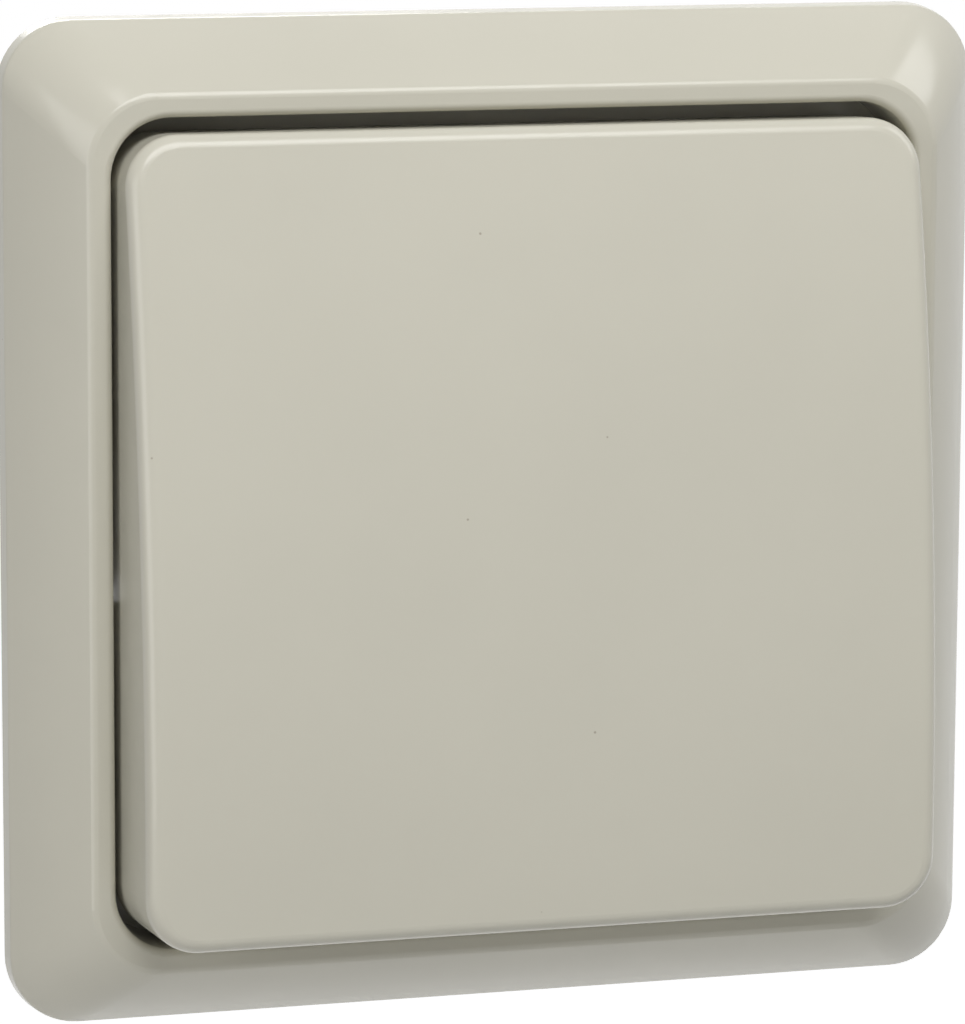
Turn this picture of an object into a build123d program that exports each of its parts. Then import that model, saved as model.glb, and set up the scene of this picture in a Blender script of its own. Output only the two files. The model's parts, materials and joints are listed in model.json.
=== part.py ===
from build123d import *
from math import cos, radians, sin, tan
import os

# Flush-mounted pushbutton switch: a one-gang cover frame, a tilted sprung rocker and the insert behind them.
# X points right, Y into the wall and Z up. The wall face is Y = 0 and the origin is the middle of the frame.
# A height is measured out of the wall, towards the person who presses the button, so it is -Y.

# Cover frame
FRAME_SIDE = 80.0
FRAME_CORNER = 5.6
LIP_HEIGHT = 1.6
LIP_DRAFT = 0.15
LIP_ROUND = 0.5
RIDGE_INSET = 5.5
RIDGE_HEIGHT = 8.6
RIDGE_CORNER = 5.7
RIDGE_ROUND = 0.8
BEVEL_BULGE = 0.3
BEVEL_SHARES = (0.0, 0.3, 0.65, 1.0)
RIM_WIDTH = 7.25
RIM_ROUND = 0.6
OPENING_CORNER = 4.7
FRAME_WALL = 1.9
FRAME_TOP_WALL = 3.3
COLLAR_WALL = 1.4
CAVITY_CORNER = 4.0
FRAME_RIB = 1.2
FRAME_RIB_OFFSET = 20.0
LEDGE_REACH = 5.25
LEDGE_THICKNESS = 1.2
LEDGE_START = 9.5
LEDGE_END = 18.0
HEAD_RELIEF_WIDTH = 12.0
HEAD_RELIEF_HEIGHT = 2.4

# Rocker, its pivot and its travel
PIVOT_HEIGHT = 4.5
TRAVEL_ANGLE = 7.5
ROCKER_SIDE_GAP = 0.5
ROCKER_END_GAP = 1.25
ROCKER_DROP = 0.28
ROCKER_CORNER = 4.2
ROCKER_EDGE_ROUND = 1.25
ROCKER_WALL = 1.8
ROCKER_FACE_TOP = 8.65
ROCKER_FACE_BOTTOM = 10.95
ROCKER_FACE_BULGE = 2.11
ROCKER_SKIRT_DEPTH = 0.6
ROCKER_RIB = 1.0
ROCKER_RIB_BOTTOM = 5.6
ROCKER_RIB_OFFSET = 20.5
CLIP_LEG_WIDTH = 5.0
CLIP_LEG_THICKNESS = 1.5
CLIP_LEG_X = 9.0
CLIP_LEG_V = 12.6
CLIP_BARB = 0.7
CLIP_BARB_LENGTH = 1.9
CLIP_CLEARANCE = 0.15

# Cradle that turns in the mechanism cover
CRADLE_WIDTH = 28.8
CRADLE_LENGTH = 32.0
CRADLE_PLATE_BOTTOM = 1.4
CRADLE_PLATE = 1.8
CRADLE_CORNER = 2.0
CRADLE_CHEEK = 1.6
CRADLE_CHEEK_RADIUS = 1.95
CRADLE_WINDOW_WIDTH = 9.0
CRADLE_WINDOW_LENGTH = 12.0
TRUNNION_RADIUS = 1.5
TRUNNION_CLEARANCE = 0.05
STOP_FOOT = 3.0
STOP_FOOT_X = 3.5
STOP_FOOT_V = 13.2
STOP_GAP = 0.06
FINGER_RADIUS = 1.8
FINGER_ROUND = 0.8
FINGER_REACH = 2.1
FINGER_GAP = 0.03

# Support ring
RING_FRAME_GAP = 2.6
RING_CORNER = 10.0
RING_THICKNESS = 1.2
RING_OPENING_WIDTH = 29.0
RING_OPENING_CORNER = 2.0
BOX_SCREW_PITCH = 60.0
BOX_HOLE_RADIUS = 1.7
KEY_SLOT_LENGTH = 13.0
KEY_SLOT_WIDTH = 3.6
KEY_HEAD_RADIUS = 3.8
KEY_HEAD_OFFSET = 7.0
RING_BEAD_WIDTH = 2.4
RING_BEAD_DEPTH = 0.5
RING_BEAD_GAP = 1.8
RING_BEAD_LENGTH = 26.0

# Moulded base
BASE_WIDTH = 38.0
BASE_LENGTH = 42.0
BASE_DEPTH = 23.0
BASE_CORNER = 3.0
BASE_SIDE_WALL = 2.0
BASE_END_WALL = 5.0
BASE_FLOOR = 2.0
RAMP_ANGLE = 25.0
RAMP_END_DEPTH = 2.1
RAMP_BACK_GAP = 3.7
RAMP_ROOT = 1.0
CORE_POCKET_WIDTH = 14.0
CORE_POCKET_LENGTH = 2.0
CORE_POCKET_DEPTH = 12.0
PARTITION = 1.0
PARTITION_TAB_GAP = 1.9
PARTITION_TOP_GAP = 0.1

# Mechanism cover
COVER_FLANGE = 1.2
COVER_FLANGE_WIDTH = 35.0
COVER_FIT = 0.3
COVER_PLUG_DEPTH = 1.4
COVER_WING_WIDTH = 7.0
EAR_THICKNESS = 2.0
EAR_GAP = 0.5
EAR_WIDTH = 6.4
EAR_TOP_WALL = 1.8
CATCH_THICKNESS = 1.2
CATCH_BARB = 1.0
CATCH_HEIGHT = 1.1
CATCH_GAP = 0.2
CATCH_TOP_GAP = 0.05
CATCH_BEVEL = 0.7

# Screws that hold cover, ring and base together
SCREW_X = 13.0
SCREW_RADIUS = 1.3
SCREW_HEAD_RADIUS = 2.2
SCREW_HEAD_HEIGHT = 1.3
SCREW_HEAD_ROUND = 0.65
SCREW_LENGTH = 14.0
SCREW_CLEARANCE = 0.1
DRIVE_SLOT_WIDTH = 0.8
DRIVE_SLOT_DEPTH = 0.7

# Plunger, springs and contacts
PLUNGER_RADIUS = 3.0
PLUNGER_CLEARANCE = 0.1
PLUNGER_NECK_DEPTH = 3.0
CARRIER_WIDTH = 9.0
CARRIER_LENGTH = 6.0
CARRIER_DEPTH = 11.0
CARRIER_END_GAP = 2.0
CARRIER_CORNER = 1.0
CARRIER_WALL = 1.3
WINDOW_TOP = 1.6
WINDOW_BOTTOM = 3.2
SPIGOT_RADIUS = 1.7
SPIGOT_LENGTH = 1.5
BRIDGE_WIDTH = 19.4
BRIDGE_LENGTH = 4.0
BRIDGE_THICKNESS = 0.6
CONTACT_X = 7.8
CONTACT_RADIUS = 1.6
CONTACT_THICKNESS = 0.9
CONTACT_CROWN = 0.25
CONTACT_GAP = 1.5
BAR_THICKNESS = 0.8
BAR_TAB_LENGTH = 5.0
BAR_WALL_GAP = 0.2
BAR_TOP_DEPTH = 7.0
BAR_END_GAP = 2.0
RETURN_COIL_RADIUS = 2.4
RETURN_WIRE_RADIUS = 0.25
RETURN_TURNS = 4.5
CONTACT_COIL_RADIUS = 1.4
CONTACT_WIRE_RADIUS = 0.2
CONTACT_TURNS = 4.0

# Push-in terminals and their release levers
WIRE_HOLE_RADIUS = 1.5
WIRE_BAR_GAP = 0.3
WIRE_FUNNEL = 0.5
TERMINAL_PITCH = 12.0
TERMINAL_CENTRE_Z = 4.0
TERMINAL_CHAMBER = 9.9
CLAMP_THICKNESS = 0.5
CLAMP_WIDTH = 6.4
CLAMP_LOOP_RADIUS = 1.5
CLAMP_SEAT_GAP = 0.1
CLAMP_LOOP_DEPTH = 8.0
CLAMP_TIP_HEIGHT = 9.0
CLAMP_TIP_GAP = 0.5
CLAMP_TURN_GAP = 0.9
LEVER_WIDTH = 3.0
LEVER_BORE_OVERLAP = 0.75
LEVER_CORNER = 0.5
LEVER_HEAD_LENGTH = 8.0
LEVER_BUTTON_LENGTH = 4.6
LEVER_TIP_HEIGHT = 8.8
LEVER_PROUD = 2.4
LEVER_CLEARANCE = 0.15
LEVER_TIP_BEVEL = 1.4

# Claws, their screws and nuts
CLAW_SCREW_GAP = 2.0
CLAW_SCREW_RADIUS = 1.5
CLAW_HOLE_CLEARANCE = 0.3
CLAW_HEAD_RADIUS = 2.9
CLAW_HEAD_HEIGHT = 1.9
CLAW_HEAD_ROUND = 0.6
CLAW_TIP_BEVEL = 0.5
CLAW_SCREW_PROUD = 0.6
CLAW_TRAVEL = 7.5
CLAW_LEG_INNER = 3.15
CLAW_LEG_THICKNESS = 1.2
CLAW_GAP = 0.15
CLAW_BASE_GAP = 0.6
CLAW_WIDTH = 8.6
CLAW_FOOT = 1.2
CLAW_TOOTH = 1.0
CLAW_TEETH = 4
CLAW_TOOTH_PITCH = 1.7
CLAW_TOOTH_FLANK = 0.5
NUT_SIDE = 6.0
NUT_THICKNESS = 2.4
NUT_GAP = 0.1
THREAD_CLEARANCE = 0.05

# Sizes that follow from those above
OVERCUT = 1.0
OVERLAP = 0.4
REST_ANGLE = TRAVEL_ANGLE / 2
OPENING_SIDE = FRAME_SIDE - 2 * RIM_WIDTH
ROCKER_WIDTH = OPENING_SIDE - 2 * ROCKER_SIDE_GAP
ROCKER_LENGTH = OPENING_SIDE - 2 * ROCKER_END_GAP
RING_SIDE = FRAME_SIDE - 2 * (FRAME_WALL + RING_FRAME_GAP)
RING_OPENING_LENGTH = BASE_LENGTH - 2 * BASE_END_WALL
RING_BEAD_OFFSET = BASE_LENGTH / 2 + RING_BEAD_GAP + RING_BEAD_WIDTH / 2
RING_FRONT = RING_THICKNESS
COVER_FRONT = RING_FRONT + COVER_FLANGE
LEDGE_FRONT = RING_FRONT + LEDGE_THICKNESS
CAVITY_HALF_WIDTH = BASE_WIDTH / 2 - BASE_SIDE_WALL
CAVITY_HALF_LENGTH = BASE_LENGTH / 2 - BASE_END_WALL
FLOOR_HEIGHT = -(BASE_DEPTH - BASE_FLOOR)
SCREW_Z = (BASE_LENGTH - BASE_END_WALL) / 2
FINGER_V = CAVITY_HALF_LENGTH - CARRIER_LENGTH / 2 - CARRIER_END_GAP
PARTITION_X = CAVITY_HALF_WIDTH - TERMINAL_CHAMBER - PARTITION / 2
PARTITION_STEP_Z = FINGER_V - BAR_TAB_LENGTH / 2 - PARTITION_TAB_GAP
BAR_X = CAVITY_HALF_WIDTH - BAR_WALL_GAP - BAR_THICKNESS
WIRE_HOLE_X = BAR_X - WIRE_BAR_GAP - WIRE_HOLE_RADIUS
CLAMP_TURN_X = WIRE_HOLE_X - WIRE_HOLE_RADIUS - CLAMP_TURN_GAP
RAMP_START_DEPTH = BASE_DEPTH - RAMP_BACK_GAP
CLAW_SCREW_X = BASE_WIDTH / 2 + CLAW_SCREW_RADIUS + CLAW_SCREW_GAP
CLAW_INNER_X = BASE_WIDTH / 2 + CLAW_BASE_GAP
CLAW_OUTER_X = CLAW_INNER_X + CLAW_WIDTH
CLAW_LEG_FRONT_DEPTH = RAMP_END_DEPTH + CLAW_TRAVEL
CLAW_FOOT_DEPTH = BASE_DEPTH - 2 * (CLAW_FOOT + NUT_GAP) - NUT_THICKNESS
SIDES = {"left": -1, "right": 1}


def at(height):
    """The plane parallel to the wall at this height, seen from the front: x right and y up."""
    return Plane.XZ.offset(height)


def rocker_plane(height=0.0):
    """The rocker's own plane through its pivot, at its rest tilt with the lower edge proud."""
    tilt = radians(REST_ANGLE)
    pivot = Plane(origin=(0, -PIVOT_HEIGHT, 0), x_dir=(1, 0, 0), z_dir=(0, -cos(tilt), sin(tilt)))
    return pivot.offset(height)


def rocker_side_plane():
    """The rocker's side view: x along the rocker from bottom to top, y out of the pivot plane."""
    base = rocker_plane()
    return Plane(origin=base.origin, x_dir=base.y_dir, z_dir=base.y_dir.cross(base.z_dir))


def finish(builder, name):
    """Names a finished piece and writes its file."""
    builder.part.label = name
    export_step(builder.part, f"parts/{name}.step")


def bevel_point(share):
    """Inset and height of the frame's bevel, which bulges a little between the lip and the ridge."""
    run = RIDGE_INSET - LIP_DRAFT
    rise = RIDGE_HEIGHT - LIP_HEIGHT
    length = (run**2 + rise**2) ** 0.5
    bulge = 4 * BEVEL_BULGE * share * (1 - share)
    return LIP_DRAFT + run * share - bulge * rise / length, LIP_HEIGHT + rise * share + bulge * run / length


def rocker_block(inset):
    """The rocker's rounded block, or its hollow when it is drawn in by a wall."""
    half = ROCKER_LENGTH / 2 - inset
    top_end = half - ROCKER_DROP
    bottom_end = -half - ROCKER_DROP
    skirt = -ROCKER_SKIRT_DEPTH - (OVERCUT if inset else 0)
    slope = (ROCKER_FACE_TOP - ROCKER_FACE_BOTTOM) / ROCKER_LENGTH
    middle = (ROCKER_FACE_TOP + ROCKER_FACE_BOTTOM) / 2 - inset
    with BuildPart() as block:
        with BuildSketch(rocker_side_plane()):
            with BuildLine():
                face = ThreePointArc(
                    (bottom_end, middle - slope * half),
                    (-ROCKER_DROP, middle + ROCKER_FACE_BULGE),
                    (top_end, middle + slope * half),
                )
                Polyline(face @ 1, (top_end, skirt), (bottom_end, skirt), face @ 0)
            make_face()
        extrude(amount=ROCKER_WIDTH / 2 - inset, both=True)
        uprights = block.edges().filter_by(Axis((0, 0, 0), tuple(rocker_plane().z_dir)))
        fillet(uprights, ROCKER_CORNER - inset)
        if not inset:
            outline = block.faces().sort_by(Axis((0, 0, 0), tuple(rocker_plane().z_dir)))[-1].edges()
            fillet(outline, ROCKER_EDGE_ROUND)
    return block.part


def coil(centre, radius, wire, front, back, turns):
    """A compression spring along Y between two heights, its wire inside them."""
    length = front - back - 2 * wire
    with BuildPart() as spring:
        with BuildLine() as path:
            Helix(
                pitch=length / turns,
                height=length,
                radius=radius,
                center=(centre[0], -front + wire, centre[1]),
                direction=(0, 1, 0),
            )
        wire_start = Plane(origin=path.line @ 0, z_dir=path.line % 0)
        with BuildSketch(wire_start):
            Circle(wire)
        sweep(path=path.line, is_frenet=True)
    return spring


os.makedirs("parts", exist_ok=True)

# Cover frame
cavity_top = RIDGE_HEIGHT - FRAME_TOP_WALL
bevel_slope = (RIDGE_INSET - LIP_DRAFT) / (RIDGE_HEIGHT - LIP_HEIGHT)
wall_inset = FRAME_WALL * (1 + bevel_slope**2) ** 0.5
cavity_top_inset = LIP_DRAFT + bevel_slope * (cavity_top - LIP_HEIGHT) + wall_inset
cavity_ring_inset = FRAME_WALL + (cavity_top_inset - FRAME_WALL) * RING_FRONT / cavity_top
collar_half = OPENING_SIDE / 2 + COLLAR_WALL
with BuildPart() as cover_frame:
    with BuildSketch(at(0)):
        RectangleRounded(FRAME_SIDE, FRAME_SIDE, FRAME_CORNER)
    with BuildSketch(at(LIP_HEIGHT)):
        lip_side = FRAME_SIDE - 2 * LIP_DRAFT
        RectangleRounded(lip_side, lip_side, FRAME_CORNER - LIP_DRAFT)
    loft(ruled=True)
    for share in BEVEL_SHARES:
        inset, height = bevel_point(share)
        with BuildSketch(at(height)):
            corner = FRAME_CORNER - LIP_DRAFT + (RIDGE_CORNER - FRAME_CORNER) * share
            RectangleRounded(FRAME_SIDE - 2 * inset, FRAME_SIDE - 2 * inset, corner)
    loft()
    lip_edges = cover_frame.edges().filter_by_position(Axis.Y, -LIP_HEIGHT, -LIP_HEIGHT)
    fillet(lip_edges, LIP_ROUND)
    ridge_edges = cover_frame.faces().filter_by(Plane.XZ).sort_by(Axis.Y)[0].edges()
    fillet(ridge_edges, RIDGE_ROUND)
    with BuildSketch(at(0)):
        RectangleRounded(OPENING_SIDE, OPENING_SIDE, OPENING_CORNER)
    extrude(amount=RIDGE_HEIGHT, mode=Mode.SUBTRACT)
    rim_edges = cover_frame.faces().filter_by(Plane.XZ).sort_by(Axis.Y)[0].inner_wires()[0].edges()
    fillet(rim_edges, RIM_ROUND)
    with BuildSketch(at(0)):
        cavity_side = FRAME_SIDE - 2 * FRAME_WALL
        RectangleRounded(cavity_side, cavity_side, CAVITY_CORNER)
    with BuildSketch(at(cavity_top)):
        cavity_top_side = FRAME_SIDE - 2 * cavity_top_inset
        RectangleRounded(cavity_top_side, cavity_top_side, CAVITY_CORNER)
    loft(ruled=True, mode=Mode.SUBTRACT)
    with BuildSketch(at(RING_FRONT)):
        RectangleRounded(2 * collar_half, 2 * collar_half, OPENING_CORNER + COLLAR_WALL)
        RectangleRounded(OPENING_SIDE, OPENING_SIDE, OPENING_CORNER, mode=Mode.SUBTRACT)
    extrude(amount=cavity_top + OVERLAP - RING_FRONT)
    with BuildSketch(at(RING_FRONT)):
        ledge_centre = (LEDGE_START + LEDGE_END) / 2
        ledge_x = (OPENING_SIDE - LEDGE_REACH + OVERLAP) / 2
        with GridLocations(2 * ledge_x, 2 * ledge_centre, 2, 2):
            Rectangle(LEDGE_REACH + OVERLAP, LEDGE_END - LEDGE_START)
    extrude(amount=LEDGE_THICKNESS)
    with BuildSketch(at(RING_FRONT)):
        Rectangle(2 * collar_half + OVERCUT, HEAD_RELIEF_WIDTH)
        Rectangle(OPENING_SIDE - OVERCUT, HEAD_RELIEF_WIDTH, mode=Mode.SUBTRACT)
    extrude(amount=HEAD_RELIEF_HEIGHT, mode=Mode.SUBTRACT)
    for angle in range(0, 360, 90):
        radial = Vector(cos(radians(angle)), 0, sin(radians(angle)))
        along = Vector(-sin(radians(angle)), 0, cos(radians(angle)))
        for offset_along in (-FRAME_RIB_OFFSET, FRAME_RIB_OFFSET):
            with BuildSketch(Plane(origin=along * offset_along, x_dir=radial, z_dir=along)):
                with BuildLine():
                    Polyline(
                        (collar_half - OVERLAP, -RING_FRONT),
                        (FRAME_SIDE / 2 - cavity_ring_inset + OVERLAP, -RING_FRONT),
                        (FRAME_SIDE / 2 - cavity_top_inset + OVERLAP, -cavity_top),
                        (collar_half - OVERLAP, -cavity_top),
                        close=True,
                    )
                make_face()
            extrude(amount=FRAME_RIB / 2, both=True)
finish(cover_frame, "cover_frame")

# Rocker: a moulded shell with a skirt, stiffening ribs and four clip legs
rocker_outside = rocker_block(0.0)
rocker_hollow = rocker_block(ROCKER_WALL)
rocker_middle = rocker_block(ROCKER_WALL / 2)
barb_top = CRADLE_PLATE_BOTTOM - CLIP_CLEARANCE
barb_end = barb_top - CLIP_BARB_LENGTH
barb_face = CLIP_LEG_V + CLIP_LEG_THICKNESS / 2
with BuildPart() as rocker_webs:
    with BuildSketch(rocker_plane(ROCKER_RIB_BOTTOM)):
        with GridLocations(2 * ROCKER_RIB_OFFSET, 0, 2, 1):
            Rectangle(ROCKER_RIB, ROCKER_LENGTH)
        with GridLocations(0, 2 * ROCKER_RIB_OFFSET, 1, 2):
            Rectangle(ROCKER_WIDTH, ROCKER_RIB)
    extrude(amount=ROCKER_FACE_BOTTOM)
    with BuildSketch(rocker_plane(barb_end)):
        with GridLocations(2 * CLIP_LEG_X, 2 * CLIP_LEG_V, 2, 2):
            Rectangle(CLIP_LEG_WIDTH, CLIP_LEG_THICKNESS)
    extrude(amount=ROCKER_FACE_BOTTOM - barb_end)
    add(rocker_middle, mode=Mode.INTERSECT)
with BuildPart() as rocker:
    add(rocker_outside)
    add(rocker_hollow, mode=Mode.SUBTRACT)
    add(rocker_webs.part)
    for leg_x in (-CLIP_LEG_X, CLIP_LEG_X):
        for end in (-1, 1):
            with BuildSketch(rocker_side_plane().offset(leg_x)):
                with BuildLine():
                    Polyline(
                        (end * (barb_face - CLIP_BARB / 2), barb_top),
                        (end * (barb_face + CLIP_BARB), barb_top),
                        (end * (barb_face + CLIP_BARB), barb_top - CLIP_BARB),
                        (end * barb_face, barb_end),
                        (end * (barb_face - CLIP_BARB / 2), barb_end),
                        close=True,
                    )
                make_face()
            extrude(amount=CLIP_LEG_WIDTH / 2, both=True)
finish(rocker, "rocker")

# Rocker cradle: the moulded lever that the rocker clips to, with its trunnions, stop feet and drive finger
tilt = radians(REST_ANGLE)
stop_edge = STOP_FOOT_V + STOP_FOOT / 2
stop_bottom = (COVER_FRONT + STOP_GAP - PIVOT_HEIGHT + stop_edge * sin(tilt)) / cos(tilt)
window_depth = CLIP_LEG_THICKNESS + CLIP_BARB + 2 * CLIP_CLEARANCE
window_v = barb_face + CLIP_CLEARANCE - window_depth / 2
with BuildPart() as rocker_cradle:
    with BuildSketch(rocker_plane(CRADLE_PLATE_BOTTOM)):
        RectangleRounded(CRADLE_WIDTH, CRADLE_LENGTH, CRADLE_CORNER)
        RectangleRounded(CRADLE_WINDOW_WIDTH, CRADLE_WINDOW_LENGTH, CRADLE_CORNER / 2, mode=Mode.SUBTRACT)
        with GridLocations(2 * CLIP_LEG_X, 2 * window_v, 2, 2):
            Rectangle(CLIP_LEG_WIDTH + 2 * CLIP_CLEARANCE, window_depth, mode=Mode.SUBTRACT)
    extrude(amount=CRADLE_PLATE)
    with BuildSketch(rocker_plane(stop_bottom)):
        with GridLocations(2 * STOP_FOOT_X, 2 * STOP_FOOT_V, 2, 2):
            Rectangle(STOP_FOOT, STOP_FOOT)
    extrude(amount=CRADLE_PLATE_BOTTOM - stop_bottom)
    with BuildSketch(rocker_plane(-FINGER_REACH)):
        with Locations((0, -FINGER_V)):
            Circle(FINGER_RADIUS)
    extrude(amount=FINGER_REACH + CRADLE_PLATE_BOTTOM)
    finger_tip = rocker_cradle.faces().sort_by(Axis((0, 0, 0), tuple(rocker_plane().z_dir)))[0].edges()
    fillet(finger_tip, FINGER_ROUND)
    for side in SIDES.values():
        cheek = rocker_side_plane().offset(side * (CRADLE_WIDTH / 2 - CRADLE_CHEEK / 2))
        with BuildSketch(cheek):
            Circle(CRADLE_CHEEK_RADIUS)
            with Locations((0, (CRADLE_PLATE_BOTTOM + CRADLE_PLATE) / 2)):
                Rectangle(2 * CRADLE_CHEEK_RADIUS, CRADLE_PLATE_BOTTOM + CRADLE_PLATE)
        extrude(amount=CRADLE_CHEEK / 2, both=True)
        with BuildSketch(cheek):
            Circle(TRUNNION_RADIUS)
        extrude(amount=side * (CRADLE_CHEEK / 2 + EAR_GAP + EAR_THICKNESS))
finish(rocker_cradle, "rocker_cradle")

# Support ring: stamped steel, with slots and holes on the box's 60 mm pitch
with BuildPart() as support_ring:
    with BuildSketch(at(0)):
        RectangleRounded(RING_SIDE, RING_SIDE, RING_CORNER)
        RectangleRounded(RING_OPENING_WIDTH, RING_OPENING_LENGTH, RING_OPENING_CORNER, mode=Mode.SUBTRACT)
        with GridLocations(2 * SCREW_X, 2 * SCREW_Z, 2, 2):
            Circle(SCREW_RADIUS + SCREW_CLEARANCE, mode=Mode.SUBTRACT)
        with GridLocations(2 * CLAW_SCREW_X, 0, 2, 1):
            Circle(CLAW_SCREW_RADIUS + CLAW_HOLE_CLEARANCE, mode=Mode.SUBTRACT)
        with GridLocations(0, BOX_SCREW_PITCH, 1, 2):
            Circle(BOX_HOLE_RADIUS, mode=Mode.SUBTRACT)
        with GridLocations(BOX_SCREW_PITCH, 0, 2, 1):
            SlotOverall(KEY_SLOT_LENGTH, KEY_SLOT_WIDTH, rotation=90, mode=Mode.SUBTRACT)
        with Locations(*[(side * BOX_SCREW_PITCH / 2, side * KEY_HEAD_OFFSET) for side in SIDES.values()]):
            Circle(KEY_HEAD_RADIUS, mode=Mode.SUBTRACT)
    extrude(amount=RING_THICKNESS)
    for face_height, mode in ((RING_THICKNESS, Mode.ADD), (0, Mode.SUBTRACT)):
        with BuildSketch(at(face_height)):
            with GridLocations(0, 2 * RING_BEAD_OFFSET, 1, 2):
                SlotOverall(RING_BEAD_LENGTH, RING_BEAD_WIDTH)
        extrude(amount=RING_BEAD_DEPTH, mode=mode)
finish(support_ring, "support_ring")

# Mechanism cover: closes the base, carries the cradle in two ears and holds the frame by four catches
ledge_inner = OPENING_SIDE / 2 - LEDGE_REACH
catch_outer = ledge_inner - CATCH_GAP
catch_z = (LEDGE_START + LEDGE_END) / 2
ear_inner = CRADLE_WIDTH / 2 + EAR_GAP
ear_bore = TRUNNION_RADIUS + TRUNNION_CLEARANCE
with BuildPart() as mechanism_cover:
    with BuildSketch(at(-COVER_PLUG_DEPTH)):
        RectangleRounded(
            RING_OPENING_WIDTH - 2 * COVER_FIT,
            RING_OPENING_LENGTH - 2 * COVER_FIT,
            RING_OPENING_CORNER - COVER_FIT,
        )
    extrude(amount=COVER_PLUG_DEPTH + RING_FRONT)
    with BuildSketch(at(RING_FRONT)):
        RectangleRounded(COVER_FLANGE_WIDTH, BASE_LENGTH, BASE_CORNER)
        with GridLocations(0, 2 * catch_z, 1, 2):
            Rectangle(2 * catch_outer, COVER_WING_WIDTH)
    extrude(amount=COVER_FLANGE)
    with BuildSketch(at(COVER_FRONT)):
        with GridLocations(2 * catch_outer - CATCH_THICKNESS, 2 * catch_z, 2, 2):
            Rectangle(CATCH_THICKNESS, COVER_WING_WIDTH)
    extrude(amount=CATCH_HEIGHT + CATCH_TOP_GAP)
    with BuildSketch(at(LEDGE_FRONT + CATCH_TOP_GAP)):
        with GridLocations(2 * catch_outer, 2 * catch_z, 2, 2):
            Rectangle(2 * CATCH_BARB, COVER_WING_WIDTH)
    extrude(amount=CATCH_HEIGHT)
    barb_edges = mechanism_cover.faces().filter_by(Plane.XZ).sort_by(Axis.Y)[:4].edges()
    barb_edges = barb_edges.filter_by(Axis.Z).filter_by(lambda e: abs(e.center().X) > catch_outer)
    chamfer(barb_edges, CATCH_BEVEL)
    for side in SIDES.values():
        with BuildSketch(Plane.YZ.offset(side * (ear_inner + EAR_THICKNESS / 2))):
            ear_top = PIVOT_HEIGHT + ear_bore + EAR_TOP_WALL
            with Locations((-(ear_top + COVER_FRONT) / 2, 0)):
                Rectangle(ear_top - COVER_FRONT, EAR_WIDTH)
            with Locations((-PIVOT_HEIGHT, 0)):
                Circle(ear_bore, mode=Mode.SUBTRACT)
        extrude(amount=EAR_THICKNESS / 2, both=True)
    with BuildSketch(at(-COVER_PLUG_DEPTH)):
        with Locations((0, -FINGER_V)):
            Circle(PLUNGER_RADIUS + PLUNGER_CLEARANCE)
        with GridLocations(2 * SCREW_X, 2 * SCREW_Z, 2, 2):
            Circle(SCREW_RADIUS + SCREW_CLEARANCE)
    extrude(amount=COVER_PLUG_DEPTH + COVER_FRONT, mode=Mode.SUBTRACT)
finish(mechanism_cover, "mechanism_cover")

# Heights inside the base, from the cover down to the floor
stem_top = PIVOT_HEIGHT - FINGER_REACH * cos(tilt) + (FINGER_V - FINGER_RADIUS + FINGER_ROUND) * sin(tilt)
stem_top -= FINGER_GAP
carrier_top = -PLUNGER_NECK_DEPTH
carrier_bottom = carrier_top - CARRIER_DEPTH
window_top = carrier_top - WINDOW_TOP
window_bottom = carrier_bottom + WINDOW_BOTTOM
bridge_rivet_tip = window_bottom - CONTACT_THICKNESS
bar_rivet_top = bridge_rivet_tip - CONTACT_GAP
bar_top = bar_rivet_top - CONTACT_THICKNESS
bar_bottom = bar_top - BAR_THICKNESS
tab_inner_x = CONTACT_X - CONTACT_RADIUS - BAR_THICKNESS / 2
terminal_zs = [TERMINAL_CENTRE_Z - TERMINAL_PITCH / 2, TERMINAL_CENTRE_Z + TERMINAL_PITCH / 2]
lever_x = WIRE_HOLE_X - WIRE_HOLE_RADIUS + LEVER_BORE_OVERLAP
ramp_slope = tan(radians(RAMP_ANGLE))

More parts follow.
